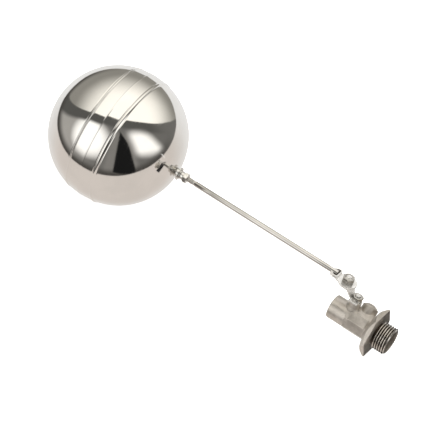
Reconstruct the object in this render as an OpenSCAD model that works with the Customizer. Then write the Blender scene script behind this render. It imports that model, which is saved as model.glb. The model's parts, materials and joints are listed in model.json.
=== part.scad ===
// Float valve: quarter-turn inlet valve worked by a ball float on an arm.
// X runs along the pipe, out of the inlet thread. Z runs up the stem.
// The origin is on the pipe's centre line, on the flange face where the thread starts.

/* [Inlet] */
// Outside diameter of the inlet thread
thread_d = 20.955; // [20.4:0.005:21.4]
// Length of the inlet thread
thread_l = 12; // [10:0.5:16]
// Diameter of the open inlet
inlet_d = 16.6; // [14:0.1:17.4]
// Distance across the flats of the hex flange
flange_af = 33.5; // [31:0.5:36]
// Thickness of the hex flange
flange_t = 4.5; // [3.5:0.1:6]

/* [Valve body] */
// Distance from the flange face to the outlet end
body_l = 37.8; // [37:0.1:42]
// Diameter of the round outlet end
outlet_end_d = 18; // [17:0.1:20]
// Distance across the flats of the eight-sided middle
octagon_af = 18.2; // [18:0.1:20]
// Distance from the flange face to the start of the eight-sided middle
octagon_x = 23.7; // [22.5:0.1:25]
// Diameter of the side boss
boss_d = 12.4; // [9:0.1:12.6]
// Reach of the side boss's straight wall from the pipe's centre line
boss_reach = 13.2; // [12:0.1:13.6]
// Height of the side boss's domed end
dome_h = 2.6; // [1:0.1:3]
// Distance from the flange face to the side boss
boss_x = 13.8; // [13:0.1:14]
// Height of the raised plate
plate_h = 0.6; // [0.3:0.1:1]

/* [Ball and stem] */
// Distance from the flange face to the stem
stem_x = 22.7; // [22.5:0.1:23]
// Diameter of the drilled ball
ball_d = 11.5; // [11.3:0.1:11.7]
// Diameter of the hole through the drilled ball
ball_bore_d = 7; // [5:0.1:7.2]
// Diameter of the stem
stem_d = 4; // [4:0.1:4.4]
// Radial gap between the stem and the parts it turns in
stem_gap = 0.05; // [0.03:0.01:0.1]
// Height of the top of the stem neck above the pipe's centre line
neck_z = 15.5; // [15.2:0.1:15.6]

/* [Lever] */
// Thickness of the lever plate
lever_t = 1.2; // [1:0.1:1.3]
// Width of the lever at its foot plate
foot_w = 11.6; // [9:0.1:12.4]
// Width of the lever at its lobe
lever_w = 12.4; // [11:0.1:13]
// Width of the lever where it rises from its foot plate
waist_w = 5.6; // [5:0.1:9]
// Height of the lever's foot plate above the pipe's centre line
lever_z = 15.8; // [15.7:0.1:15.9]
// Height of the lever's round lobe above the pipe's centre line
lobe_z = 23.5; // [23.3:0.1:23.6]
// Distance from the flange face to the clamp bolt
clamp_x = 33.9; // [33.8:0.1:34.5]
// Diameter of the clamp bolt
clamp_d = 5; // [4.6:0.1:5]

/* [Float arm] */
// Radius of the arm bracket's round lobe
lobe_r = 7.3; // [7:0.1:7.4]
// Thickness of the arm bracket's lobe
bracket_t = 1.2; // [1:0.1:1.3]
// Diameter of the float rod
rod_d = 4; // [3.6:0.1:4]
// Height of the rod above the pipe's centre line
rod_z = 27.3; // [27.2:0.1:27.5]

/* [Float] */
// Diameter of the float
float_d = 100; // [90:1:110]
// Distance from the flange face to the middle of the float
float_x = 232.4; // [225:0.1:260]
// Thickness of the float's sheet metal
float_wall = 0.6; // [0.4:0.1:1]
// Distance from the float's weld to each raised ring
ring_x = 10.6; // [8:0.1:14]
// Radius of the wire-like raised ring
ring_r = 0.55; // [0.4:0.05:0.8]

/* [Hidden] */
$fn = 64;
eps = 0.01;

cast_steel = [0.64, 0.61, 0.57];
bright_steel = [0.80, 0.79, 0.77];
polished_steel = [0.86, 0.85, 0.83];
seal_white = [0.93, 0.92, 0.88];

// Waterway and ball chamber
chamber_r = 6.6;
chamber_x = 16.4;
throat_r = 4.5;
inlet_depth = 2.5;
throat_x = 6.2;
seat_bore_r = 4;
seat_gap = 0.12;
seat_offset = 3.4;
retainer_in = 1.2;
retainer_bore_r = 4.2;
slot_w = 1.6;
slot_depth = 1.4;
outlet_seat_x = 2 * stem_x - chamber_x;

// Stem, from the ball up
tongue_w = 1.9;
tongue_l = 5;
tongue_z = 4.1;
slot_z = 4.0;
shoulder_z = 6.0;
shoulder_t = 1.1;
shoulder_r = 2.95;
thrust_t = 0.5;
recess_r = 3.1;
packing_z = 10.2;
packing_t = 3;
packing_r = 3.6;
gland_t = 1.9;
flats_w = 3;
stem_top = 20.3;

// Stem neck and flange details
neck_r = 4.3;
neck_base_r = 5.4;
neck_base_z = 10.2;
flare_r = 12.2;
flare_l = 2.4;
edge = 0.6;
plate_l = 13.9;
plate_w = 7.0;
plate_x = 21.3;
flange_back_r = 15.6;
flange_rim = 0.8;
dome_r = (pow(boss_d / 2, 2) + pow(dome_h, 2)) / (2 * dome_h);

// Nuts, washer and bolt
stem_washer_r = 3.5;
stem_washer_t = 0.5;
stem_nut_af = 7;
stem_nut_h = 2.2;
clamp_gap = 0.05;
clamp_head_r = 3.1;
clamp_head_t = 1.4;
clamp_nut_af = 8;
clamp_nut_h = 4;
clamp_nut_turn = 21;
bolt_past_nut = 0.6;
nut_bevel = 0.35;

// Lever shape. The strip's ends are points on its middle, in the X-Z plane
foot_near_x = 19.6;
foot_far_x = stem_x + stem_nut_af / 2 + 0.7;
strip_foot = [-stem_x - stem_nut_af / 2 - 0.45, lever_z + lever_t / 2];
strip_head = [-clamp_x + clamp_head_r + 0.3, lobe_z + lever_t / 2];

// Arm bracket neck and the stack of fittings on the rod next to the float
bracket_z = lobe_z + lever_t + clamp_gap;
keel_w = 2.6;
wing_low_z = 25.9;
wing_top_z = 28.1;
wing_w = 4.7;
wing_tip_w = 2.3;
wing_x = [41.0, 44.4, 47.7];
rod_end_x = 42.8;
socket_l = 9;
boss_r = 3.1;
boss_wall = 3;
boss_out = 2.4;
washer_t = 0.8;
washer_r = 5;
spring_t = 1.2;
spring_r = 3.5;
spring_gap = 0.9;
collar_t = 2.5;
collar_r = 3;
rod_nut_af = 7;
rod_nut_h = 3.2;
weld_half = 0.5;
weld_proud = 0.25;
rod_x0 = -float_x + weld_half + float_d / 2;

// Solid cylinder along +X that starts at x
module x_rod(x, length, radius) {
    translate([x, 0, 0]) rotate([0, 90, 0]) cylinder(h = length, r = radius);
}

// Cone along +X that starts at x
module x_cone(x, length, radius_1, radius_2) {
    translate([x, 0, 0]) rotate([0, 90, 0]) cylinder(h = length, r1 = radius_1, r2 = radius_2);
}

// Prism along +X with a flat side on top, measured across its flats
module x_prism(x, length, sides, across) {
    translate([x, 0, 0]) rotate([0, 90, 0]) rotate([0, 0, 180 / sides])
        cylinder(h = length, r = across / 2 / cos(180 / sides), $fn = sides);
}

// Flat ring that lies on its side at height z
module ring(z, height, outer_r, inner_r) {
    translate([0, 0, z]) difference() {
        cylinder(h = height, r = outer_r);
        translate([0, 0, -eps]) cylinder(h = height + 2 * eps, r = inner_r);
    }
}

// Ring round the X axis
module x_ring(x, length, outer_r, inner_r) {
    translate([x, 0, 0]) rotate([0, 90, 0]) ring(0, length, outer_r, inner_r);
}

// Hex nut that lies on its side at height z, with two of its corners on the X axis
module hex_nut(z, across, height, bore_r) {
    corner_r = across / 2 / cos(30);
    translate([0, 0, z]) difference() {
        intersection() {
            cylinder(h = height, r = corner_r, $fn = 6);
            rotate_extrude() polygon([[0, 0], [across / 2, 0], [corner_r, nut_bevel],
                [corner_r, height - nut_bevel], [across / 2, height], [0, height]]);
        }
        translate([0, 0, -eps]) cylinder(h = height + 2 * eps, r = bore_r);
    }
}

// Tapered length of strip metal between two points in the X-Z plane, with round ends
module strip(from, to, thickness, from_width, to_width) {
    run = to - from;
    slope = atan2(run[1], run[0]);
    translate([from[0], 0, from[1]]) rotate([0, -slope, 0])
        translate([0, 0, -thickness / 2]) linear_extrude(height = thickness)
            polygon([[0, -from_width / 2], [norm(run), -to_width / 2],
                [norm(run), to_width / 2], [0, from_width / 2]]);
    for (end = [[from, from_width], [to, to_width]])
        translate([end[0][0], -end[1] / 2, end[0][1]]) rotate([-90, 0, 0])
            cylinder(h = end[1], r = thickness / 2, $fn = 32);
}

module hex_flange() {
    corner_r = flange_af / 2 / cos(30);
    intersection() {
        x_prism(-flange_t, flange_t, 6, flange_af);
        rotate([0, 90, 0]) rotate_extrude() polygon([[0, -flange_t], [flange_back_r, -flange_t],
            [corner_r, -flange_rim], [corner_r, -0.3], [corner_r - 0.3, 0], [0, 0]]);
    }
}

module stem_neck() {
    translate([-stem_x, 0, 0]) rotate_extrude()
        polygon([[0, 0], [neck_base_r, 0], [neck_base_r, octagon_af / 2], [neck_r, neck_base_z],
            [neck_r, neck_z - 0.3], [neck_r - 0.3, neck_z], [0, neck_z]]);
}

module side_boss() {
    translate([-boss_x, 0, 0]) rotate([-45, 0, 0]) {
        cylinder(h = boss_reach, r = boss_d / 2);
        intersection() {
            translate([0, 0, boss_reach + dome_h - dome_r]) sphere(r = dome_r);
            cylinder(h = boss_reach + dome_h, r = boss_d / 2);
        }
    }
}

module blank_plate() {
    rotate([45, 0, 0]) translate([-plate_x, -plate_w / 2, octagon_af / 2 - 1])
        cube([plate_l, plate_w, 1 + plate_h]);
}

module valve_body() {
    color(cast_steel) difference() {
        union() {
            x_rod(0, thread_l - edge, thread_d / 2);
            x_cone(thread_l - edge, edge, thread_d / 2, thread_d / 2 - edge);
            hex_flange();
            x_cone(-flange_t - flare_l, flare_l, octagon_af / 2, flare_r);
            x_prism(-octagon_x, octagon_x - eps, 8, octagon_af);
            x_rod(-body_l + edge, body_l - edge - 1, outlet_end_d / 2);
            x_cone(-body_l, edge, outlet_end_d / 2 - edge, outlet_end_d / 2);
            stem_neck();
            side_boss();
            blank_plate();
        }
        x_rod(-inlet_depth, thread_l + inlet_depth + 1, inlet_d / 2);
        x_cone(-throat_x, throat_x - inlet_depth + eps, throat_r, inlet_d / 2);
        x_rod(-chamber_x - 1, chamber_x - throat_x + 1 + eps, throat_r);
        x_rod(-body_l - 1, body_l + 1 - chamber_x, chamber_r);
        translate([-stem_x, 0, 0]) {
            cylinder(h = neck_z + 1, r = stem_d / 2 + stem_gap);
            cylinder(h = shoulder_z + shoulder_t + thrust_t + 0.1, r = recess_r);
            translate([0, 0, packing_z]) cylinder(h = neck_z, r = packing_r);
        }
    }
}

// Ball and socket shape that each seat is cut to
module seat_ring(x, length) {
    difference() {
        x_ring(x, length, chamber_r, seat_bore_r);
        translate([-stem_x, 0, 0]) sphere(r = ball_d / 2 + seat_gap);
    }
}

module inlet_seat() {
    color(seal_white) seat_ring(-stem_x + seat_offset, stem_x - seat_offset - chamber_x);
}

module outlet_seat() {
    color(seal_white) seat_ring(-outlet_seat_x, outlet_seat_x - stem_x - seat_offset);
}

module seat_retainer() {
    color(bright_steel) difference() {
        x_ring(-body_l + retainer_in, body_l - retainer_in - outlet_seat_x, chamber_r, retainer_bore_r);
        translate([-body_l, -chamber_r - 1, -slot_w / 2])
            cube([retainer_in + slot_depth, 2 * chamber_r + 2, slot_w]);
    }
}

module thrust_washer() {
    color(seal_white) translate([-stem_x, 0, 0])
        ring(shoulder_z + shoulder_t + 0.1, thrust_t, recess_r, stem_d / 2 + stem_gap);
}

module stem_packing() {
    color(seal_white) translate([-stem_x, 0, 0])
        ring(packing_z, packing_t, packing_r, stem_d / 2 + stem_gap);
}

module gland_ring() {
    color(bright_steel) translate([-stem_x, 0, 0])
        ring(packing_z + packing_t, gland_t, packing_r, stem_d / 2 + stem_gap);
}

// The hole runs across the pipe at rest, so the valve is shut
module valve_ball() {
    color(polished_steel) translate([-stem_x, 0, 0]) difference() {
        sphere(r = ball_d / 2);
        rotate([-90, 0, 0]) cylinder(h = ball_d + 2, r = ball_bore_d / 2, center = true);
        translate([-tongue_w / 2, -ball_d, slot_z]) cube([tongue_w, 2 * ball_d, ball_d]);
    }
}

// Stem section with two flats, as the lever's hole has them
module flatted(z, height) {
    intersection() {
        translate([0, 0, z]) cylinder(h = height, r = stem_d / 2);
        translate([-stem_d, -flats_w / 2, z]) cube([2 * stem_d, flats_w, height]);
    }
}

module valve_stem() {
    color(bright_steel) translate([-stem_x, 0, 0]) {
        intersection() {
            translate([-tongue_w / 2, -tongue_l / 2, tongue_z])
                cube([tongue_w, tongue_l, shoulder_z - tongue_z + 0.5]);
            cylinder(h = 10, r = shoulder_r);
        }
        translate([0, 0, shoulder_z]) cylinder(h = shoulder_t, r = shoulder_r);
        translate([0, 0, shoulder_z + eps])
            cylinder(h = lever_z - shoulder_z - eps, r = stem_d / 2);
        flatted(lever_z - eps, lever_t + 2 * eps);
        translate([0, 0, lever_z + lever_t])
            cylinder(h = stem_top - lever_z - lever_t - 0.4, r = stem_d / 2);
        translate([0, 0, stem_top - 0.4]) cylinder(h = 0.4, r1 = stem_d / 2, r2 = stem_d / 2 - 0.4);
    }
}

module lever_plate() {
    color(bright_steel) difference() {
        union() {
            translate([-foot_far_x, -foot_w / 2, lever_z])
                cube([foot_far_x - foot_near_x, foot_w, lever_t]);
            strip(strip_foot, strip_head, lever_t, waist_w, lever_w);
            translate([-clamp_x, -lever_w / 2, lobe_z])
                cube([clamp_x + strip_head[0], lever_w, lever_t]);
            intersection() {
                translate([-clamp_x, 0, lobe_z]) cylinder(h = lever_t, r = lever_w / 2);
                translate([strip_head[0] - 2 * lever_w, -lever_w, lobe_z])
                    cube([2 * lever_w, 2 * lever_w, lever_t]);
            }
        }
        translate([-stem_x, 0, 0]) flatted(lever_z - 1, lever_t + 2);
        translate([-clamp_x, 0, lobe_z - 1]) cylinder(h = lever_t + 2, r = clamp_d / 2);
    }
}

module stem_washer() {
    color(bright_steel) translate([-stem_x, 0, 0])
        ring(lever_z + lever_t, stem_washer_t, stem_washer_r, stem_d / 2);
}

// One of its flats faces the lever's strip
module stem_nut() {
    color(bright_steel) translate([-stem_x, 0, 0]) rotate([0, 0, 30])
        hex_nut(lever_z + lever_t + stem_washer_t, stem_nut_af, stem_nut_h, stem_d / 2);
}

clamp_nut_z = bracket_z + bracket_t + clamp_gap;
bolt_top = clamp_nut_z + clamp_nut_h + bolt_past_nut;

module clamp_bolt() {
    color(bright_steel) translate([-clamp_x, 0, 0]) {
        translate([0, 0, lobe_z - clamp_head_t + 0.5]) cylinder(h = clamp_head_t - 0.5, r = clamp_head_r);
        translate([0, 0, lobe_z - clamp_head_t])
            cylinder(h = 0.5, r1 = clamp_head_r - 0.5, r2 = clamp_head_r);
        translate([0, 0, lobe_z - eps]) cylinder(h = bolt_top - lobe_z - 0.5 + eps, r = clamp_d / 2);
        translate([0, 0, bolt_top - 0.5]) cylinder(h = 0.5, r1 = clamp_d / 2, r2 = clamp_d / 2 - 0.5);
    }
}

module clamp_nut() {
    color(bright_steel) translate([-clamp_x, 0, 0]) rotate([0, 0, clamp_nut_turn])
        hex_nut(clamp_nut_z, clamp_nut_af, clamp_nut_h, clamp_d / 2);
}

module arm_bracket() {
    color(bright_steel) difference() {
        union() {
            translate([-clamp_x, 0, bracket_z]) cylinder(h = bracket_t, r = lobe_r);
            translate([-wing_x[0] - 0.5, -wing_w, bracket_z])
                cube([wing_x[0] + 0.5 - clamp_x - lobe_r / 2, 2 * wing_w, bracket_t]);
            intersection() {
                translate([0, 0, bracket_z]) linear_extrude(height = wing_top_z - bracket_z)
                    polygon([[-wing_x[0] - 0.3, -wing_w], [-wing_x[0] - 0.3, wing_w],
                        [-wing_x[1], wing_w], [-wing_x[2], wing_tip_w],
                        [-wing_x[2], -wing_tip_w], [-wing_x[1], -wing_w]]);
                translate([-wing_x[2] - 1, 0, 0]) rotate([90, 0, 90])
                    linear_extrude(height = wing_x[2] - wing_x[0] + 2)
                    polygon([[-keel_w, bracket_z], [keel_w, bracket_z], [wing_w, wing_low_z],
                        [wing_w, wing_top_z + 1], [-wing_w, wing_top_z + 1], [-wing_w, wing_low_z]]);
            }
        }
        translate([-clamp_x, 0, bracket_z - 1])
            cylinder(h = bracket_t + 2, r = clamp_d / 2 + clamp_gap);
        translate([0, 0, rod_z]) x_rod(-wing_x[2] - 1, wing_x[2] + 1 - rod_end_x, rod_d / 2);
    }
}

module float_rod() {
    color(bright_steel) translate([0, 0, rod_z])
        x_rod(rod_x0 - socket_l + boss_out, -rod_end_x - rod_x0 + socket_l - boss_out, rod_d / 2);
}

stack_washer = rod_x0 + boss_out;
stack_spring = stack_washer + washer_t;
stack_collar = stack_spring + spring_t;
stack_nut = stack_collar + collar_t;

module float_boss() {
    color(bright_steel) translate([0, 0, rod_z]) difference() {
        x_rod(rod_x0 - socket_l + boss_out - boss_wall, socket_l + boss_wall, boss_r);
        x_rod(rod_x0 - socket_l + boss_out, socket_l + 1, rod_d / 2);
    }
}

module boss_washer() {
    color(bright_steel) translate([0, 0, rod_z]) x_ring(stack_washer, washer_t, washer_r, rod_d / 2);
}

module split_washer() {
    color(bright_steel) translate([0, 0, rod_z]) difference() {
        x_ring(stack_spring, spring_t, spring_r, rod_d / 2);
        translate([stack_spring - 1, -spring_gap / 2, 0]) cube([spring_t + 2, spring_gap, spring_r + 1]);
    }
}

module lock_collar() {
    color(bright_steel) translate([0, 0, rod_z]) x_ring(stack_collar, collar_t, collar_r, rod_d / 2);
}

module rod_lock_nut() {
    corner_r = rod_nut_af / 2 / cos(30);
    color(bright_steel) translate([0, 0, rod_z]) difference() {
        intersection() {
            x_prism(stack_nut, rod_nut_h, 6, rod_nut_af);
            translate([stack_nut, 0, 0]) rotate([0, 90, 0]) rotate_extrude() polygon([[0, 0],
                [rod_nut_af / 2, 0], [corner_r, 0.4], [corner_r, rod_nut_h - 0.4],
                [rod_nut_af / 2, rod_nut_h], [0, rod_nut_h]]);
        }
        x_rod(stack_nut - 1, rod_nut_h + 2, rod_d / 2);
    }
}

// Half of the float, drawn with its pole up and its weld edge on the ground
module half_shell() {
    difference() {
        union() {
            sphere(r = float_d / 2, $fn = 128);
            translate([0, 0, ring_x - weld_half])
                rotate_extrude($fn = 128) translate([sqrt(pow(float_d / 2, 2) - pow(ring_x, 2)), 0])
                    circle(r = ring_r, $fn = 24);
        }
        sphere(r = float_d / 2 - float_wall, $fn = 128);
        translate([0, 0, -float_d]) cube([2 * float_d, 2 * float_d, 2 * float_d], center = true);
    }
}

module float_shell_rod_side() {
    color(polished_steel) difference() {
        translate([-float_x + weld_half, 0, rod_z]) rotate([0, 90, 0]) half_shell();
        translate([0, 0, rod_z]) x_rod(rod_x0 - 5, 10, boss_r);
    }
}

module float_shell_far_side() {
    color(polished_steel) translate([-float_x - weld_half, 0, rod_z]) rotate([0, -90, 0]) half_shell();
}

module float_weld_bead() {
    color(bright_steel) translate([0, 0, rod_z])
        x_ring(-float_x - weld_half, 2 * weld_half, float_d / 2 + weld_proud, float_d / 2 - float_wall);
}

valve_body();
seat_retainer();
inlet_seat();
outlet_seat();
thrust_washer();
stem_packing();
gland_ring();
valve_ball();
valve_stem();
lever_plate();
stem_washer();
stem_nut();
clamp_bolt();
clamp_nut();
arm_bracket();
float_rod();
rod_lock_nut();
lock_collar();
split_washer();
boss_washer();
float_boss();
float_shell_rod_side();
float_shell_far_side();
float_weld_bead();
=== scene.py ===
"""Looks of the float valve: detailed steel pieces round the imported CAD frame, a studio and a camera."""
import json
import math

import bmesh
import bpy
import numpy as np
from mathutils import Matrix, Vector


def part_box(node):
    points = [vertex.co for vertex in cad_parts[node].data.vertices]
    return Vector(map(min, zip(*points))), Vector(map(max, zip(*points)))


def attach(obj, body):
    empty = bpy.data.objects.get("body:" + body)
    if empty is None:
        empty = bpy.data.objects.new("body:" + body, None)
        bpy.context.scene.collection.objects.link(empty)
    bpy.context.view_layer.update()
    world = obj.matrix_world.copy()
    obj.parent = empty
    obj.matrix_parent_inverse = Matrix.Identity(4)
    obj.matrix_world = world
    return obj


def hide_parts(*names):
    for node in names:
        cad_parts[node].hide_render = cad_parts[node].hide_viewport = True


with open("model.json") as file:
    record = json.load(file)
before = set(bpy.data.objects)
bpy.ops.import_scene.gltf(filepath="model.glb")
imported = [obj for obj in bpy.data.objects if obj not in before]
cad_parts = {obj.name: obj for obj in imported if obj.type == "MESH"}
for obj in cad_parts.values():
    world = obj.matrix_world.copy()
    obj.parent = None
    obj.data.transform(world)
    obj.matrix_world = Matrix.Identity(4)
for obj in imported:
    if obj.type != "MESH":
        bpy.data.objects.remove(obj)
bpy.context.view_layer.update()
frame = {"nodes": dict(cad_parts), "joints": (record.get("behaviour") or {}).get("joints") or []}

MM = 0.001
NODES = frame["nodes"]

# ---------------------------------------------------------------- places taken from the frame


def node_box(node):
    """Lowest and highest corner of a CAD node, in millimetres."""
    low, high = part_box(node)
    return np.array(low) / MM, np.array(high) / MM


def joint_place(name):
    """A joint's place, in millimetres."""
    joint = next(j for j in frame["joints"] if j["name"] == name)
    return np.array(joint["pos_m"]) / MM


BODY_HIGH = node_box("valve_body")[1]
ROD_LOW, ROD_HIGH = node_box("float_rod")
NEAR_LOW = node_box("float_shell_rod_side")[0]
FAR_LOW, FAR_HIGH = node_box("float_shell_far_side")
STEM_X = joint_place("stem_swing")[0]
CLAMP_X = joint_place("arm_adjust")[0]
ROD_Z = (ROD_LOW[2] + ROD_HIGH[2]) / 2
ROD_R = (ROD_HIGH[2] - ROD_LOW[2]) / 2
FLOAT_R = FAR_HIGH[0] - FAR_LOW[0]
FLOAT_X = (NEAR_LOW[0] + FAR_HIGH[0]) / 2
WELD_HALF = (NEAR_LOW[0] - FAR_HIGH[0]) / 2

# Sizes that no node's box tells, in millimetres: lever sheet, M5 bolt, M4 stem and their thread pitches
LEVER_T = 1.2
BOLT_R = 2.5
STEM_R = 2.0
M5_PITCH = 0.8
M4_PITCH = 0.7

# ---------------------------------------------------------------- node materials

# Sockets of a Mix node that mixes colours
MIX_FACTOR, MIX_A, MIX_B, MIX_RESULT = 0, 6, 7, 2


class Nodes:
    """A short way to write shader nodes: each call adds one node and returns one of its outputs."""

    def __init__(self, tree):
        self.tree = tree
        tree.nodes.clear()

    def add(self, kind, out=0, settings=None, **inputs):
        """An input is named after its socket, with _ for a space, or i and the socket's number."""
        node = self.tree.nodes.new(kind)
        for key, value in (settings or {}).items():
            setattr(node, key, value)
        for key, value in inputs.items():
            numbered = key[0] == "i" and key[1:].isdigit()
            self.feed(node.inputs[int(key[1:]) if numbered else key.replace("_", " ")], value)
        return node.outputs[out]

    def feed(self, socket, value):
        if isinstance(value, bpy.types.NodeSocket):
            self.tree.links.new(value, socket)
        elif isinstance(value, (tuple, list)) and socket.type == "RGBA" and len(value) == 3:
            socket.default_value = (*value, 1)
        else:
            socket.default_value = value

    def math(self, operation, a, b):
        return self.add("ShaderNodeMath", settings={"operation": operation}, i0=a, i1=b)

    def ramp(self, value, low, high, to_low=0.0, to_high=1.0):
        """Smooth step from to_low, where value is low, to to_high, where it is high."""
        return self.add("ShaderNodeMapRange", settings={"interpolation_type": "SMOOTHSTEP"}, Value=value,
                        From_Min=low, From_Max=high, To_Min=to_low, To_Max=to_high)

    def mix(self, factor, a, b):
        node = self.tree.nodes.new("ShaderNodeMix")
        node.data_type = "RGBA"
        self.feed(node.inputs[MIX_FACTOR], factor)
        self.feed(node.inputs[MIX_A], a)
        self.feed(node.inputs[MIX_B], b)
        return node.outputs[MIX_RESULT]

    def stretched(self, scale):
        """Object coordinates multiplied by a vector, in 1/m."""
        place = self.add("ShaderNodeTexCoord", out="Object")
        return self.add("ShaderNodeVectorMath", settings={"operation": "MULTIPLY"}, i0=place, i1=scale)

    def noise(self, scale, detail=3.0, rough=0.5):
        """Noise in object space. scale is a number or a vector, in 1/m."""
        vector = scale if isinstance(scale, tuple) else (scale,) * 3
        return self.add("ShaderNodeTexNoise", Vector=self.stretched(vector), Scale=1.0, Detail=detail,
                        Roughness=rough)

    def pointiness(self):
        """Above 0.5 on outward edges."""
        return self.add("ShaderNodeNewGeometry", out="Pointiness")

    def bump(self, height, strength, distance, normal=None):
        """distance is in metres. normal is an earlier bump to add this one to."""
        inputs = {"Height": height, "Strength": strength, "Distance": distance}
        if normal is not None:
            inputs["Normal"] = normal
        return self.add("ShaderNodeBump", **inputs)

    def finish(self, shader, kind="ShaderNodeOutputMaterial"):
        """Joins the last shader to the output of the material or world."""
        output = self.tree.nodes.new(kind)
        self.tree.links.new(shader, output.inputs[0])

    def principled(self, **inputs):
        self.finish(self.add("ShaderNodeBsdfPrincipled", **inputs))


def material(name):
    mat = bpy.data.materials.new(name)
    mat.use_nodes = True
    return mat, Nodes(mat.node_tree)


def steel(n, colour, roughness, normal, metallic=1.0):
    n.principled(Base_Color=colour, Roughness=roughness, Normal=normal, Metallic=metallic)


def polished_steel():
    """Mirror finish left by a buffing wheel that ran round the float's axis."""
    mat, n = material("polished_steel")
    waviness = n.noise((26, 34, 34), detail=1.0)
    buffing = n.noise((2600, 60, 60), detail=4.0, rough=0.7)
    haze = n.noise((900, 45, 45), detail=3.0)
    cloud = n.noise(38, detail=4.0)
    colour = n.mix(n.ramp(cloud, 0.35, 0.7), (0.83, 0.815, 0.79), (0.885, 0.865, 0.84))
    haze_roughness = n.ramp(haze, 0.35, 0.75, 0.035, 0.085)
    roughness = n.math("ADD", haze_roughness, n.ramp(cloud, 0.4, 0.7, 0.0, 0.02))
    normal = n.bump(waviness, 0.10, 0.004)
    normal = n.bump(buffing, 0.05, 0.00012, normal)
    steel(n, colour, roughness, normal)
    return mat


def cast_steel():
    """Investment cast and blasted skin: fine grain, soft mottling, brighter rubbed edges."""
    mat, n = material("cast_steel")
    mottle = n.noise(170, detail=5.0, rough=0.6)
    grain = n.noise(3400, detail=3.0, rough=0.65)
    pits = n.noise(1500, detail=3.0)
    edge = n.ramp(n.pointiness(), 0.515, 0.57)
    colour = n.mix(n.ramp(mottle, 0.3, 0.72), (0.50, 0.465, 0.42), (0.68, 0.635, 0.585))
    colour = n.mix(n.ramp(pits, 0.26, 0.40, 0.30, 0.0), colour, (0.34, 0.31, 0.27))
    colour = n.mix(n.math("MULTIPLY", edge, 0.75), colour, (0.86, 0.84, 0.80))
    rubbed = n.math("MULTIPLY", edge, 0.14)
    roughness = n.math("SUBTRACT", n.ramp(mottle, 0.25, 0.75, 0.33, 0.45), rubbed)
    normal = n.bump(pits, 0.12, 0.00012)
    normal = n.bump(grain, 0.26, 0.00008, normal)
    steel(n, colour, roughness, normal, metallic=0.88)
    return mat


def machined_steel(name, low, high):
    """Turned or rolled bright steel with fine tool marks, in colours between low and high."""
    mat, n = material(name)
    marks = n.noise((5200, 700, 700), detail=4.0, rough=0.7)
    smear = n.noise(420, detail=4.0)
    colour = n.mix(n.ramp(smear, 0.3, 0.7), low, high)
    roughness = n.ramp(smear, 0.3, 0.75, 0.14, 0.27)
    steel(n, colour, roughness, n.bump(marks, 0.14, 0.00006))
    return mat


def thread_steel():
    """Turned thread: bright crests, and roots painted dark as painted shade, told apart by their distance
    from the pipe's axis.
    Past the last turn, at the mouth, no shade is painted and it is bright all through."""
    root_r, crest_r = 0.0094, 0.0103
    mouth_start, mouth_end = 0.0112, 0.0115
    mat, n = material("thread_steel")
    across = n.stretched((0.0, 1.0, 1.0))
    radius = n.add("ShaderNodeVectorMath", out="Value", settings={"operation": "LENGTH"}, i0=across)
    along = n.add("ShaderNodeSeparateXYZ", i0=n.stretched((1.0, 1.0, 1.0)))
    mouth = n.ramp(along, mouth_start, mouth_end)
    bright = n.math("MAXIMUM", mouth, n.ramp(radius, root_r, crest_r))
    smear = n.noise(420, detail=4.0)
    crest = n.mix(n.ramp(smear, 0.3, 0.7), (0.74, 0.70, 0.65), (0.90, 0.87, 0.82))
    # painted shade: near-black in the thread's roots, the crest colour on the crests and at the mouth
    colour = n.mix(bright, (0.07, 0.055, 0.045), crest)
    marks = n.noise((5200, 300, 300), detail=3.0)
    steel(n, colour, n.ramp(smear, 0.3, 0.75, 0.18, 0.28), n.bump(marks, 0.08, 0.00004))
    return mat


def stamped_steel():
    """Bright rolled sheet, tumbled after stamping, with faint scratches."""
    mat, n = material("stamped_steel")
    scratch = n.noise((500, 5200, 900), detail=4.0, rough=0.75)
    smear = n.noise(260, detail=4.0)
    edge = n.ramp(n.pointiness(), 0.52, 0.6)
    colour = n.mix(n.ramp(smear, 0.3, 0.7), (0.76, 0.745, 0.72), (0.87, 0.86, 0.84))
    colour = n.mix(n.math("MULTIPLY", edge, 0.5), colour, (0.95, 0.94, 0.92))
    roughness = n.ramp(smear, 0.3, 0.75, 0.18, 0.32)
    steel(n, colour, roughness, n.bump(scratch, 0.07, 0.00005), metallic=0.72)
    return mat


def drawn_steel():
    """Drawn bright rod: fine draw lines along its length."""
    mat, n = material("drawn_steel")
    lines = n.noise((40, 4200, 4200), detail=3.0, rough=0.6)
    smear = n.noise((60, 300, 300), detail=4.0)
    colour = n.mix(n.ramp(smear, 0.3, 0.7), (0.62, 0.605, 0.58), (0.74, 0.72, 0.69))
    roughness = n.ramp(smear, 0.3, 0.75, 0.045, 0.10)
    steel(n, colour, roughness, n.bump(lines, 0.10, 0.00005))
    return mat


def weld_steel():
    """Small weld left as it cooled: rippled, with a dark heat tint, and painted nearly black as painted
    shade for the hollow it fills.
    """
    mat, n = material("weld_steel")
    ripple = n.noise(1500, detail=3.0)
    tint = n.noise(620, detail=3.0)
    # partly heat tint, mostly painted shade: these near-black colours stand in for the shade in the
    # bracket's pocket
    colour = n.mix(n.ramp(tint, 0.4, 0.7), (0.025, 0.02, 0.016), (0.13, 0.105, 0.08))
    steel(n, colour, n.ramp(tint, 0.3, 0.7, 0.30, 0.45), n.bump(ripple, 0.25, 0.0002))
    return mat


def seal_plastic():
    """Matte white PTFE."""
    mat, n = material("seal_plastic")
    cloud = n.noise(300, detail=3.0)
    grain = n.noise(2500, detail=2.0)
    n.principled(Base_Color=n.mix(cloud, (0.86, 0.85, 0.80), (0.93, 0.92, 0.89)),
                 Roughness=n.ramp(cloud, 0.3, 0.7, 0.42, 0.55), Normal=n.bump(grain, 0.1, 0.00005))
    return mat


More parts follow.
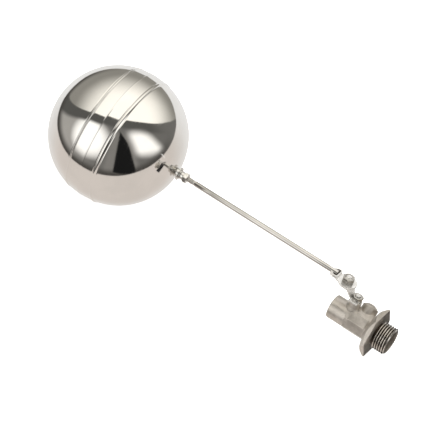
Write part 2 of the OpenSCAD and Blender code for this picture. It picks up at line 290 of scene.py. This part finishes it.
MATERIALS = {
    "polished_steel": polished_steel(),
    "cast_steel": cast_steel(),
    "machined_steel": machined_steel("machined_steel", (0.66, 0.645, 0.615), (0.82, 0.805, 0.78)),
    "stamped_steel": stamped_steel(),
    "drawn_steel": drawn_steel(),
    "weld_steel": weld_steel(),
    "seal_plastic": seal_plastic(),
}
THREAD_STEEL = thread_steel()
# painted shade: the nuts get a darker copy of the machined steel
SHADED_NUT_STEEL = machined_steel("shaded_nut_steel", (0.36, 0.345, 0.32), (0.56, 0.54, 0.51))

# ---------------------------------------------------------------- mesh helpers

# A thread's profile, as shares of half a turn: the flat at its root and the slope above it
ROOT_FLAT, FLANK = 0.12, 0.74


def mesh_from_mm(name, verts, faces):
    mesh = bpy.data.meshes.new(name)
    mesh.from_pydata([tuple(float(c) * MM for c in v) for v in verts], [], faces)
    return mesh


def linked_object(name, data):
    obj = bpy.data.objects.new(name, data)
    bpy.context.scene.collection.objects.link(obj)
    return obj


def finish_mesh(mesh, sharp_deg=35.0):
    """Welds, orients and smooths a mesh, and keeps the edges sharper than sharp_deg crisp."""
    bm = bmesh.new()
    bm.from_mesh(mesh)
    bmesh.ops.remove_doubles(bm, verts=bm.verts, dist=1e-7)
    bmesh.ops.dissolve_degenerate(bm, edges=bm.edges, dist=1e-7)
    bmesh.ops.recalc_face_normals(bm, faces=bm.faces)
    limit = math.radians(sharp_deg)
    for face in bm.faces:
        face.smooth = True
    for edge in bm.edges:
        edge.smooth = len(edge.link_faces) == 2 and edge.calc_face_angle(0) < limit
    bm.to_mesh(mesh)
    bm.free()
    mesh.update()


def dress(obj, body, slot, mat=None, stands_for=()):
    """Gives a visible object its material, the one named by slot unless mat is given, fastens it to its body
    and hides the CAD nodes it replaces.
    """
    obj.data.materials.clear()
    obj.data.materials.append(mat or MATERIALS[slot])
    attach(obj, body)
    if stands_for:
        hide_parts(*stands_for)


def piece(name, verts, faces, body, slot, mat=None, stands_for=(), sharp_deg=35.0):
    """Makes one visible piece from millimetre vertices and fastens it to its body."""
    mesh = mesh_from_mm(name, verts, faces)
    finish_mesh(mesh, sharp_deg)
    dress(linked_object(name, mesh), body, slot, mat, stands_for)


def revolve(profile, origin, axis, turns, closed=True):
    """Surface of revolution in millimetres. profile holds (along, radius) pairs, where radius may be a
    function of the angle. closed joins the last pair to the first."""
    verts, faces = [], []
    for along, radius in profile:
        for k in range(turns):
            angle = 2 * math.pi * k / turns
            r = radius(angle) if callable(radius) else radius
            side = (r * math.cos(angle), r * math.sin(angle))
            local = (along, *side) if axis == "X" else (*side, along)
            verts.append([o + c for o, c in zip(origin, local)])
    rows = len(profile)
    for i in range(rows if closed else rows - 1):
        for k in range(turns):
            a, b = i * turns, (i + 1) % rows * turns
            faces.append((a + k, a + (k + 1) % turns, b + (k + 1) % turns, b + k))
    return verts, faces


def rounded(points, radius, steps=4, closed=True):
    """Rounds the corners of a profile with curves of the given radius, or of a radius for each corner."""
    out = []
    count = len(points)
    radii = radius if isinstance(radius, list) else [radius] * count
    for i, point in enumerate(points):
        here = Vector(point)
        if radii[i] <= 0 or (not closed and i in (0, count - 1)):
            out.append(tuple(here))
            continue
        before, after = Vector(points[i - 1]) - here, Vector(points[(i + 1) % count]) - here
        half = before.angle(after) / 2
        reach = min(radii[i] / math.tan(half), before.length * 0.49, after.length * 0.49)
        start, end = here + before.normalized() * reach, here + after.normalized() * reach
        for s in range(steps + 1):
            t = s / steps
            out.append(tuple(start * (1 - t) ** 2 + here * 2 * t * (1 - t) + end * t ** 2))
    return out


def ring_profile(low, high, inner, outer, low_corner, high_corner):
    """Closed profile of a washer or collar, with the radii of its two outer corners."""
    points = [(low, inner), (low, outer), (high, outer), (high, inner)]
    return rounded(points, [0.05, low_corner, high_corner, 0.05])


def thread_wave(along, angle, pitch):
    """Height of a right-hand thread, 0 at its root and 1 at its crest, with a flat on both."""
    phase = (along / pitch - angle / (2 * math.pi)) % 1.0
    return min(1.0, max(0.0, (abs(2 * phase - 1) - ROOT_FLAT) / FLANK))


def threaded_rows(start, end, root_r, crest_r, pitch, per_pitch, lead_in):
    """Profile rows of a threaded stretch. lead_in gives the length at each end over which it fades out."""
    count = max(2, int(round(abs(end - start) / pitch * per_pitch)))
    rows = []
    for i in range(count + 1):
        x = start + (end - start) * i / count
        fade = min(1.0, abs(x - start) / lead_in[0], abs(end - x) / lead_in[1])

        def radius(angle, x=x, fade=fade):
            return root_r + (crest_r - root_r) * fade * thread_wave(x, angle, pitch)

        rows.append((x, radius))
    return rows


def hex_radius(across, turn):
    """Radius of a hexagon as a function of the angle."""
    def radius(angle):
        local = (angle + turn) % (math.pi / 3) - math.pi / 6
        return across / 2 / math.cos(local)
    return radius


def capped(radius, limit):
    """A radius function that is nowhere more than limit."""
    return lambda angle: min(radius(angle), limit)


def corner_radius(across):
    return across / 2 / math.cos(math.pi / 6)


def hex_rows(low, high, across, turn, inset, bevel, steps):
    """Profile rows of a nut's outside. Its corners are bevelled over the length bevel at both ends, down to
    a round face that lies inset inside the flats."""
    hexagon = hex_radius(across, turn)
    corner = corner_radius(across)
    face = across / 2 - inset
    stages = [k / steps for k in range(steps + 1)]
    caps = [capped(hexagon, face + t * (corner - face + 0.01)) for t in stages]
    rows = [(low + bevel * t, cap) for t, cap in zip(stages, caps)]
    rows += [(high - bevel * t, cap) for t, cap in zip(reversed(stages), reversed(caps))]
    return rows


def remeshed_copy(node, name, voxel, smoothing, cutter=None):
    """A copy of a CAD node's mesh with soft cast or tumbled edges: cut, remeshed in small voxels and
    smoothed. cutter holds the vertices and faces of what is cut away."""
    obj = linked_object(name, NODES[node].data.copy())
    bm = bmesh.new()
    bm.from_mesh(obj.data)
    bmesh.ops.remove_doubles(bm, verts=bm.verts, dist=2e-6)
    bm.to_mesh(obj.data)
    bm.free()
    if cutter:
        mesh = mesh_from_mm("helper", *cutter)
        finish_mesh(mesh)
        helper = linked_object("helper", mesh)
        cut = obj.modifiers.new("cut", "BOOLEAN")
        cut.operation = "DIFFERENCE"
        cut.object = helper
        cut.solver = "EXACT"
    remesh = obj.modifiers.new("remesh", "REMESH")
    remesh.mode = "VOXEL"
    remesh.voxel_size = voxel * MM
    soften = obj.modifiers.new("soften", "SMOOTH")
    soften.factor = 0.5
    soften.iterations = smoothing
    graph = bpy.context.evaluated_depsgraph_get()
    mesh = bpy.data.meshes.new_from_object(obj.evaluated_get(graph))
    obj.modifiers.clear()
    old = obj.data
    obj.data = mesh
    bpy.data.meshes.remove(old)
    if cutter:
        bpy.data.objects.remove(helper)
    for face in mesh.polygons:
        face.use_smooth = True
    mesh.name = name
    return obj


# ---------------------------------------------------------------- float

SHELL_T = 0.6
RING = 10.6 - WELD_HALF         # the raised ring's distance from its half's weld edge
BELT_FLATNESS = 0.45            # how far the belt is flattened towards the chord, 0 to 1
RING_ROUNDNESS = 0.8            # power of the cosine that shapes the ring
GROOVE_GAP, GROOVE_WIDTH = 0.25, 0.28
SHELL_STEPS, INNER_STEPS = 48, 24


def shell_radius(x, ridge_half, ridge_height, groove):
    """Outside radius of a half shell at the distance x from its weld edge: a sphere with a slightly
    flattened belt, and one raised ring between two fine grooves."""
    radius = math.sqrt(FLOAT_R ** 2 - x ** 2)
    if x < RING:
        chord = FLOAT_R + (math.sqrt(FLOAT_R ** 2 - RING ** 2) - FLOAT_R) * x / RING
        radius += BELT_FLATNESS * (chord - radius)
    near = abs(x - RING) / ridge_half
    if near < 1.0:
        radius += ridge_height * math.cos(near * math.pi / 2) ** RING_ROUNDNESS
    from_groove = abs(x - RING) - ridge_half - GROOVE_GAP
    return radius - groove * math.exp(-(from_groove / GROOVE_WIDTH) ** 2)


def half_float(side, name, ridge_half, ridge_height, groove, hole_r, node):
    """side is +1 for the half that faces the rod and -1 for the far half, which has no hole."""
    coarse = [round(0.4 * k, 3) for k in range(22)]
    fine = [round(RING - 2.2 + 0.11 * k, 3) for k in range(42)]
    stations = sorted(set(coarse + fine))
    outer = [(x, shell_radius(x, ridge_half, ridge_height, groove)) for x in stations]
    start = math.asin(stations[-1] / FLOAT_R)
    end = math.acos(hole_r / FLOAT_R)
    for k in range(1, SHELL_STEPS + 1):
        a = start + (end - start) * k / SHELL_STEPS
        outer.append((FLOAT_R * math.sin(a), FLOAT_R * math.cos(a)))
    inner_r = FLOAT_R - SHELL_T
    last = math.acos(hole_r / inner_r)
    inner = []
    for k in range(INNER_STEPS + 1):
        a = last * (1 - k / INNER_STEPS)
        inner.append((inner_r * math.sin(a), inner_r * math.cos(a)))
    has_hole = hole_r > 0
    if has_hole:
        loop = outer + inner
    else:
        outer[-1] = (FLOAT_R, 0.0)
        inner[0] = (inner_r, 0.0)
        loop = list(reversed(outer)) + list(reversed(inner))
    loop = [(side * x, r) for x, r in loop]
    edge = (FLOAT_X + side * WELD_HALF, 0, ROD_Z)
    verts, faces = revolve(loop, edge, "X", turns=192, closed=has_hole)
    piece(name, verts, faces, "float_arm", "polished_steel", stands_for=(node,), sharp_deg=40)


def weld_line():
    """The dressed weld that joins the two halves: a low uneven bead."""
    turns = 240
    height, unevenness, sunk = 0.10, 0.05, 0.02
    rng = np.random.default_rng(7)
    wobble = np.convolve(rng.normal(0, 1, turns + 8), np.ones(9) / 9, "valid")
    loop = []
    for k in range(7):
        t = -1 + 2 * k / 6

        def radius(angle, t=t):
            lift = height + unevenness * wobble[int(round(angle / (2 * math.pi) * turns)) % turns]
            return FLOAT_R - sunk + lift * (1 - t * t)

        loop.append((t * WELD_HALF, radius))
    loop += [(WELD_HALF, FLOAT_R - SHELL_T), (-WELD_HALF, FLOAT_R - SHELL_T)]
    verts, faces = revolve(loop, (FLOAT_X, 0, ROD_Z), "X", turns=turns)
    piece("float_weld", verts, faces, "float_arm", "weld_steel", MATERIALS["polished_steel"],
          ("float_weld_bead",), sharp_deg=60)


def socket():
    """The threaded socket in the float, and the weld fillet between it and the shell."""
    floor_x = 3.0
    low, high = node_box("float_boss")
    socket_r = (high[2] - low[2]) / 2
    profile = [(low[0], 0.0), (low[0], socket_r), (high[0], socket_r), (high[0], ROD_R),
               (low[0] + floor_x, ROD_R), (low[0] + floor_x, 0.0)]
    verts, faces = revolve(rounded(profile, 0.25, closed=False), (0, 0, ROD_Z), "X", turns=64, closed=False)
    piece("socket", verts, faces, "float_arm", "machined_steel", stands_for=("float_boss",))

    turns = 64
    pole = NEAR_LOW[0] + FLOAT_R
    rng = np.random.default_rng(3)
    lumps = np.convolve(rng.normal(0, 1, turns + 8), np.ones(5) / 5, "valid")
    fillet = []
    for k in range(6):
        t = k / 5

        def radius(angle, t=t):
            lump = 1 + 0.22 * lumps[int(angle / (2 * math.pi) * turns) % turns]
            return socket_r + (1 - t) ** 1.8 * lump

        fillet.append((pole - 0.18 + 1.05 * t, radius))
    fillet += [(pole + 0.87, socket_r - 0.1), (pole - 0.3, socket_r - 0.1)]
    verts, faces = revolve(fillet, (0, 0, ROD_Z), "X", turns=turns)
    piece("socket_weld", verts, faces, "float_arm", "weld_steel", MATERIALS["machined_steel"], sharp_deg=60)


def float_rings():
    """The wide washer and the collar on the rod."""
    for node, name, corner in (("boss_washer", "wide_washer", 0.22), ("lock_collar", "collar", 0.35)):
        low, high = node_box(node)
        outer = (high[2] - low[2]) / 2
        loop = ring_profile(low[0], high[0], ROD_R + 0.02, outer, corner, corner)
        verts, faces = revolve(loop, (0, 0, ROD_Z), "X", turns=72)
        piece(name, verts, faces, "float_arm", "machined_steel", stands_for=(node,))


def rod_nut():
    """Lock nut on the rod: bevelled flats outside, countersunk bore inside."""
    face_inset, sink = 0.35, 0.3
    low, high = node_box("rod_lock_nut")
    across = high[2] - low[2]
    start, end, bore = low[0], high[0], ROD_R
    face_r = across / 2 - face_inset
    loop = hex_rows(start, end, across, math.pi / 6, inset=0.08, bevel=0.45, steps=4)
    loop += [(end, face_r), (end, bore + 0.35), (end - sink, bore)]
    loop += [(start + sink, bore), (start, bore + 0.35), (start, face_r)]
    verts, faces = revolve(loop, (0, 0, ROD_Z), "X", turns=180)
    piece("rod_nut", verts, faces, "float_arm", "machined_steel", stands_for=("rod_lock_nut",), sharp_deg=25)


def spring_washer():
    """One turn of square wire, sprung apart at its gap."""
    wire, half_gap, steps = 0.86, 0.45, 72
    low, high = node_box("split_washer")
    outer = (high[2] - low[2]) / 2
    length = high[0] - low[0]
    gap = math.asin(half_gap / outer)
    inner = ROD_R + 0.05
    section = rounded([(0, inner), (0, outer), (wire, outer), (wire, inner)], 0.12, steps=2)
    verts, faces = [], []
    for i in range(steps + 1):
        t = i / steps
        angle = gap + (2 * math.pi - 2 * gap) * t
        lift = low[0] + (length - wire) * t
        for x, r in section:
            verts.append((lift + x, r * math.cos(angle), ROD_Z + r * math.sin(angle)))
    size = len(section)
    for i in range(steps):
        for k in range(size):
            a, b = i * size, (i + 1) * size
            faces.append((a + k, a + (k + 1) % size, b + (k + 1) % size, b + k))
    faces.append(tuple(range(size)))
    faces.append(tuple(reversed(range(steps * size, steps * size + size))))
    piece("spring_washer", verts, faces, "float_arm", "machined_steel", stands_for=("split_washer",))


def rod():
    """The float rod: drawn bright, with an M4 thread where the nut runs."""
    past_nut = 5.5
    start, end = ROD_LOW[0], ROD_HIGH[0]
    thread_end = node_box("rod_lock_nut")[1][0] + past_nut
    rows = [(start, 0.0), (start, ROD_R - 0.45)]
    rows += threaded_rows(start + 0.4, thread_end, ROD_R - 0.40, ROD_R, M4_PITCH, 10, (0.5, 0.9))
    rows += [(thread_end + 0.45, ROD_R - 0.36), (thread_end + 0.8, ROD_R)]
    rows += [(end - 0.5, ROD_R), (end - 0.15, ROD_R - 0.12), (end, ROD_R - 0.5), (end, 0.0)]
    verts, faces = revolve(rows, (0, 0, ROD_Z), "X", turns=48, closed=False)
    piece("rod", verts, faces, "float_arm", "drawn_steel", stands_for=("float_rod",), sharp_deg=50)


SOCKET_HOLE_R = node_box("float_boss")[1][2] - ROD_Z
half_float(+1, "float_near_half", 1.25, 0.50, 0.16, SOCKET_HOLE_R, "float_shell_rod_side")
half_float(-1, "float_far_half", 0.60, 0.26, 0.18, 0.0, "float_shell_far_side")
weld_line()
socket()
float_rings()
rod_nut()
spring_washer()
rod()

# ---------------------------------------------------------------- lever and clamp joint


def hex_nut(name, place, node, across, bore, turn):
    """Plain hex nut along Z: corners bevelled at 30 degrees, countersunk bore."""
    inset, sink, play = 0.18, 0.38, 0.02
    start, end = (corner[2] for corner in node_box(node))
    bevel = (corner_radius(across) - across / 2 + inset) * math.tan(math.radians(30))
    rows = hex_rows(start, end, across, turn, inset, bevel, steps=7)
    rows += [(end, bore + sink), (end - sink, bore + play)]
    rows += [(start + sink, bore + play), (start, bore + sink)]
    verts, faces = revolve(rows, place, "Z", turns=180)
    # painted shade: the nut takes the darker copy of the machined steel
    piece(name, verts, faces, "lever", "machined_steel", SHADED_NUT_STEEL, (node,), sharp_deg=24)


def clamp_joint():
    """Bolt and nut that hold the float arm on the lever."""
    place = (CLAMP_X, 0, 0)
    low, high = node_box("clamp_bolt")
    head_r = (high[0] - low[0]) / 2
    head, tip = low[2], high[2]
    head_top = node_box("lever_plate")[1][2] - LEVER_T
    nut_base = node_box("clamp_nut")[0][2]
    outline = [(head, 1.6), (head + 0.3, head_r - 0.5), (head + 0.6, head_r), (head_top, head_r),
               (head_top, BOLT_R)]
    rows = [(head, 0.0)]
    rows += rounded(outline, [0.2, 0.4, 0.3, 0.1, 0.0], closed=False)[1:]
    rows += [(nut_base + 1.0, BOLT_R - 0.02)]
    rows += threaded_rows(nut_base + 1.2, tip - 0.35, BOLT_R - 0.46, BOLT_R, M5_PITCH, 12, (0.4, 0.2))
    rows += [(tip - 0.15, BOLT_R - 0.55), (tip, BOLT_R - 0.75), (tip - 0.12, 0.9), (tip - 0.12, 0.0)]
    verts, faces = revolve(rows, place, "Z", turns=72, closed=False)
    piece("clamp_screw", verts, faces, "lever", "machined_steel", stands_for=("clamp_bolt",), sharp_deg=50)
    hex_nut("clamp_hex_nut", place, "clamp_nut", 8.0, BOLT_R, math.radians(9))


def stem_end():
    """The stem's threaded end with its washer and thin nut."""
    place = (STEM_X, 0, 0)
    tip = node_box("valve_stem")[1][2]
    nut_base = node_box("stem_nut")[0][2]
    rows = [(nut_base - 1.2, 0.0), (nut_base - 1.2, STEM_R - 0.45)]
    rows += threaded_rows(nut_base - 0.8, tip - 0.4, STEM_R - 0.38, STEM_R, M4_PITCH, 12, (0.3, 0.2))
    rows += rounded([(tip - 0.25, STEM_R - 0.5), (tip - 0.02, STEM_R - 0.9), (tip, 0.0)],
                    [0.1, 0.25, 0], closed=False)
    verts, faces = revolve(rows, place, "Z", turns=64, closed=False)
    piece("stem_thread", verts, faces, "lever", "machined_steel", sharp_deg=50)
    low, high = node_box("stem_washer")
    loop = ring_profile(low[2], high[2], STEM_R + 0.03, (high[0] - low[0]) / 2, 0.1, 0.2)
    verts, faces = revolve(loop, place, "Z", turns=96)
    piece("stem_flat_washer", verts, faces, "lever", "machined_steel", stands_for=("stem_washer",))
    hex_nut("stem_hex_nut", place, "stem_nut", 7.0, STEM_R, 0.0)


# The pocket cut in the bracket for the rod's end: half of its outline from above, and its floor's height
POCKET_W, POCKET_TIP_W = 3.85, 1.7
POCKET_MOUTH_X, POCKET_TAPER_X, POCKET_TIP_X = -42.0, -44.3, -46.6
POCKET = [(POCKET_MOUTH_X, 3.0), (-42.4, POCKET_W), (POCKET_TAPER_X, POCKET_W), (POCKET_TIP_X, POCKET_TIP_W)]
POCKET_Z = 25.4
PLATE_VOXEL, PLATE_SMOOTHING = 0.11, 3


def plates():
    """Stamped lever and arm bracket with tumbled edges."""
    lever = remeshed_copy("lever_plate", "lever_strip", PLATE_VOXEL, PLATE_SMOOTHING)
    dress(lever, "lever", "stamped_steel", stands_for=("lever_plate",))
    outline = POCKET + [(x, -y) for x, y in reversed(POCKET)]
    count = len(outline)
    verts = [(x, y, z) for z in (POCKET_Z, ROD_Z + 4) for x, y in outline]
    faces = [tuple(range(count)), tuple(reversed(range(count, 2 * count)))]
    faces += [(k, (k + 1) % count, (k + 1) % count + count, k + count) for k in range(count)]
    bracket = remeshed_copy("arm_bracket", "arm_lobe", PLATE_VOXEL, PLATE_SMOOTHING, (verts, faces))
    dress(bracket, "float_arm", "stamped_steel", stands_for=("arm_bracket",))


def pocket_fill():
    """Weld metal in the bracket's pocket, heaped on both sides of the rod's end; its near-black colour is
    heat tint and painted shade of the pocket.
    """
    rng = np.random.default_rng(11)
    steps = 22
    depth, heap_height, heap_width, roughness = 0.75, 0.75, 0.7, 0.07
    lumps = rng.normal(0, 1, (steps + 1, steps + 1))
    verts, faces = [], []
    for is_top in (False, True):
        for i in range(steps + 1):
            x = POCKET_TIP_X + (POCKET_MOUTH_X - POCKET_TIP_X) * i / steps
            reach = float(np.interp(x, [POCKET_TIP_X, POCKET_TAPER_X, POCKET_MOUTH_X],
                                    [POCKET_TIP_W, POCKET_W, POCKET_W]))
            for k in range(steps + 1):
                y = (reach + 0.15) * (2 * k / steps - 1)
                heap = heap_height * math.exp(-((abs(y) - ROD_R) / heap_width) ** 2)
                top = POCKET_Z + depth + heap + roughness * lumps[i][k]
                verts.append((x, y, top if is_top else POCKET_Z - 0.1))
    row = steps + 1
    count = row * row
    for i in range(steps):
        for k in range(steps):
            a = i * row + k
            faces.append((a, a + 1, a + row + 1, a + row))
            faces.append((a + count, a + row + count, a + row + 1 + count, a + 1 + count))
    rim = list(range(row))
    rim += [i * row + row - 1 for i in range(1, steps + 1)]
    rim += [steps * row + k for k in range(row - 2, -1, -1)]
    rim += [i * row for i in range(steps - 1, 0, -1)]
    for k, a in enumerate(rim):
        b = rim[(k + 1) % len(rim)]
        faces.append((a, b, b + count, a + count))
    # painted shade: this dark weld fill stands where the pocket's shade falls
    piece("rod_weld_and_shade", verts, faces, "float_arm", "weld_steel", sharp_deg=70)


clamp_joint()
stem_end()
plates()
pocket_fill()

# ---------------------------------------------------------------- valve body

# G 1/2 thread, its bore and the run-out groove behind it, in millimetres
THREAD_END = BODY_HIGH[0]
THREAD_R = 10.4775
THREAD_ROOT = 9.33
PITCH = 1.814
INLET_R = 8.3
GROOVE_R = 9.0
GROOVE_END = 1.5
CASTING_VOXEL, CASTING_SMOOTHING = 0.2, 4
COVER = 0.12                    # the casting ends this far under the thread piece


def valve_casting():
    """Cast body with soft edges, cut back under the thread, which is its own piece."""
    start, past_end, outside = 0.02, THREAD_END + 1, 14.0
    groove, under = GROOVE_R - COVER, THREAD_ROOT - COVER
    cut = revolve([(start, groove), (GROOVE_END, groove), (GROOVE_END, under), (past_end, under),
                   (past_end, outside), (start, outside)], (0, 0, 0), "X", turns=128)
    casting = remeshed_copy("valve_body", "body_casting", CASTING_VOXEL, CASTING_SMOOTHING, cut)
    dress(casting, "valve", "cast_steel", stands_for=("valve_body",))


def inlet_thread():
    """G 1/2 thread with its run-out groove, turned end face and bore mouth."""
    end, bore = THREAD_END, INLET_R + 0.03
    inside, start, deep = GROOVE_R - 0.1, -0.05, end - 3.0
    rows = [(start, inside), (start, GROOVE_R), (GROOVE_END - 0.35, GROOVE_R), (GROOVE_END, THREAD_ROOT)]
    rows += threaded_rows(GROOVE_END + 0.05, end - 0.55, THREAD_ROOT, THREAD_R, PITCH, 18, (0.45, 0.25))
    mouth = [(end - 0.5, THREAD_R - 0.75), (end - 0.02, THREAD_ROOT - 0.02), (end, INLET_R + 0.45),
             (end - 0.35, bore), (deep, bore)]
    rows += rounded(mouth, [0.1, 0.15, 0.12, 0.1, 0], closed=False)
    rows += [(deep, inside)]
    verts, faces = revolve(rows, (0, 0, 0), "X", turns=192)
    piece("inlet_thread", verts, faces, "valve", "machined_steel", THREAD_STEEL, sharp_deg=50)


valve_casting()
inlet_thread()

# CAD nodes that no piece replaces
PLAIN_NODES = {
    "seat_retainer": "machined_steel",
    "inlet_seat": "seal_plastic",
    "outlet_seat": "seal_plastic",
    "thrust_washer": "seal_plastic",
    "stem_packing": "seal_plastic",
    "gland_ring": "machined_steel",
    "valve_ball": "polished_steel",
    "valve_stem": "machined_steel",
}
for node_name, material_name in PLAIN_NODES.items():
    slots = NODES[node_name].data.materials
    slots.clear()
    slots.append(MATERIALS[material_name])

# ---------------------------------------------------------------- studio


def direction(azimuth, elevation):
    """Unit vector of a direction. Azimuth 0 is -Y and turns towards +X, elevation is above the horizon."""
    a, e = math.radians(azimuth), math.radians(elevation)
    return Vector((math.cos(e) * math.sin(a), -math.cos(e) * math.cos(a), math.sin(e)))


# Round parts of the tent: the direction of the middle, and the angle from there to the edge
CEILING, CEILING_DEG = (-145, 50), 65
TABLE, TABLE_DEG = (160, -65), 75
RIM_DEG, SKIRT_DEG = 13, 9      # how far the dark bands reach past the ceiling and the table

# Four-cornered parts, as directions
GREY_GAP = [(10, 45), (15, -30), (70, -20), (45, 35)]
SIDE_WINDOW = [(40, 45), (60, 10), (105, 5), (75, 45)]
DARK_WEDGE = [(20, 45), (30, -25), (65, -20), (40, 30)]

SIDE_TONE = (0.17, 0.165, 0.155)
LEFT_TONE = (0.42, 0.405, 0.38)
PANEL_TONE = (1.35, 1.33, 1.28)
GAP_TONE = (0.24, 0.23, 0.215)
RIM_TONE = (0.105, 0.103, 0.096)
WINDOW_TONE = (1.25, 1.23, 1.18)
CEILING_DIM_TONE = (0.29, 0.28, 0.25)
CEILING_LIT_TONE = (1.30, 1.26, 1.16)
SKIRT_TONE = (0.075, 0.07, 0.064)
WEDGE_TONE = (0.012, 0.012, 0.012)
TABLE_TONE = (0.70, 0.645, 0.60)
BACK_TONE = (0.88, 0.88, 0.87)


def studio_world():
    """Soft tent light seen in every direction: a bright ceiling with a dark rim, a lit panel in front, a
    window with a dark gap beside it, grey sides and a pale table. Later parts cover earlier ones."""
    world = bpy.data.worlds.new("studio")
    bpy.context.scene.world = world
    world.use_nodes = True
    n = Nodes(world.node_tree)
    ray = n.add("ShaderNodeTexCoord", out="Generated")

    def along(vector):
        return n.add("ShaderNodeVectorMath", out="Value", settings={"operation": "DOT_PRODUCT"}, i0=ray,
                     i1=tuple(vector))

    def toward(azimuth, elevation, low, high, *to):
        """Ramp of the cosine of the angle to a direction."""
        return n.ramp(along(direction(azimuth, elevation)), low, high, *to)

    def cap(pole, angle, soft):
        """Mask of a round patch of sky."""
        edge = math.cos(math.radians(angle))
        return toward(*pole, edge - soft, edge + soft)

    def patch(corners, soft):
        """Mask of a convex patch of sky. corners are directions, clockwise as the object sees them."""
        rays = [direction(*corner) for corner in corners]
        mask = 1.0
        for k, ray_a in enumerate(rays):
            side = ray_a.cross(rays[(k + 1) % len(rays)]).normalized()
            mask = n.math("MULTIPLY", mask, n.ramp(along(side), -soft / 2, soft / 2))
        return mask

    not_behind = toward(170, 20, 0.35, 0.80, 1.0, 0.0)
    rim = n.math("MULTIPLY", not_behind, cap(CEILING, CEILING_DEG + RIM_DEG, 0.05))
    skirt = n.math("MULTIPLY", not_behind, cap(TABLE, TABLE_DEG + SKIRT_DEG, 0.12))
    ceiling = n.mix(toward(30, 65, -0.10, 0.86), CEILING_DIM_TONE, CEILING_LIT_TONE)
    table = n.mix(toward(-150, 15, -0.1, 0.8), TABLE_TONE, BACK_TONE)

    light = n.mix(toward(-80, 0, 0.1, 0.95), SIDE_TONE, LEFT_TONE)
    light = n.mix(toward(-25, 10, 0.80, 0.96), light, PANEL_TONE)
    light = n.mix(patch(GREY_GAP, 0.16), light, GAP_TONE)
    light = n.mix(rim, light, RIM_TONE)
    light = n.mix(patch(SIDE_WINDOW, 0.28), light, WINDOW_TONE)
    light = n.mix(cap(CEILING, CEILING_DEG, 0.014), light, ceiling)
    light = n.mix(skirt, light, SKIRT_TONE)
    light = n.mix(patch(DARK_WEDGE, 0.05), light, WEDGE_TONE)
    light = n.mix(cap(TABLE, TABLE_DEG, 0.014), light, table)
    n.finish(n.add("ShaderNodeBackground", Color=light, Strength=1.0), "ShaderNodeOutputWorld")


def card(name, target, azimuth, elevation, distance, size, strength):
    """Square card that only reflections see. It faces the target, in millimetres, from a direction."""
    away = direction(azimuth, elevation)
    across = away.cross(Vector((0, 0, 1))).normalized() * size / 2
    up = across.cross(away).normalized() * size / 2
    middle = Vector(target) + away * distance
    corners = [middle - across - up, middle + across - up, middle + across + up, middle - across + up]
    mesh = mesh_from_mm(name, corners, [(0, 1, 2, 3)])
    mat, n = material(name)
    n.finish(n.add("ShaderNodeEmission", Color=(1.0, 0.985, 0.96), Strength=strength))
    mesh.materials.append(mat)
    obj = linked_object(name, mesh)
    obj.visible_camera = False
    obj.visible_shadow = False
    obj.visible_diffuse = False


def floor():
    """Plain pale table top under the float. Reflections look past it, into the tent."""
    half, gap = 12000, 0.2
    top = FAR_LOW[2] - gap
    corners = [(-half, -half, top), (half, -half, top), (half, half, top), (-half, half, top)]
    mesh = mesh_from_mm("floor", corners, [(0, 1, 2, 3)])
    mat, n = material("floor_pale")
    n.principled(Base_Color=(0.92, 0.92, 0.915), Roughness=0.9, Specular_IOR_Level=0.1,
                 Emission_Color=(1.0, 1.0, 0.995), Emission_Strength=0.80)
    mesh.materials.append(mat)
    obj = linked_object("floor", mesh)
    obj.visible_glossy = False


def soft_light(name, azimuth, elevation, distance, size, power):
    """Square lamp that faces the origin, in metres and watts. Reflections don't see it."""
    away = direction(azimuth, elevation)
    lamp = bpy.data.lights.new(name, "AREA")
    lamp.shape = "SQUARE"
    lamp.size = size
    lamp.energy = power
    obj = linked_object(name, lamp)
    obj.location = away * distance
    obj.rotation_mode = "QUATERNION"
    obj.rotation_quaternion = (-away).to_track_quat("-Z", "Y")
    obj.visible_glossy = False


def photo_camera():
    """Long lens from above the front, rolled about its own axis."""
    aim = Vector((-127.6, -20.9, 27.3)) * MM
    back = direction(18.8, 38.0)
    distance, roll = 3.39, 20.4
    data = bpy.data.cameras.new("camera")
    data.sensor_width = 36.0
    data.lens = 387.3
    data.clip_start = 0.05
    data.clip_end = 60.0
    obj = linked_object("camera", data)
    place = Matrix.Translation(aim + back * distance)
    turn = Matrix.Rotation(math.radians(roll), 4, back)
    obj.matrix_world = place @ turn @ (-back).to_track_quat("-Z", "Y").to_matrix().to_4x4()
    bpy.context.scene.camera = obj


studio_world()
card("dark_card", (4, 0, 0), 161, -38, distance=42, size=56, strength=0.02)
card("top_card", ((CLAMP_X + STEM_X) / 2, 0, ROD_Z - 3), -161, 38, distance=30, size=34, strength=1.05)
floor()
soft_light("overhead_soft", -60, 75, distance=1.6, size=1.4, power=12)
photo_camera()
view = bpy.context.scene.view_settings
view.view_transform = "Standard"
view.look = "None"
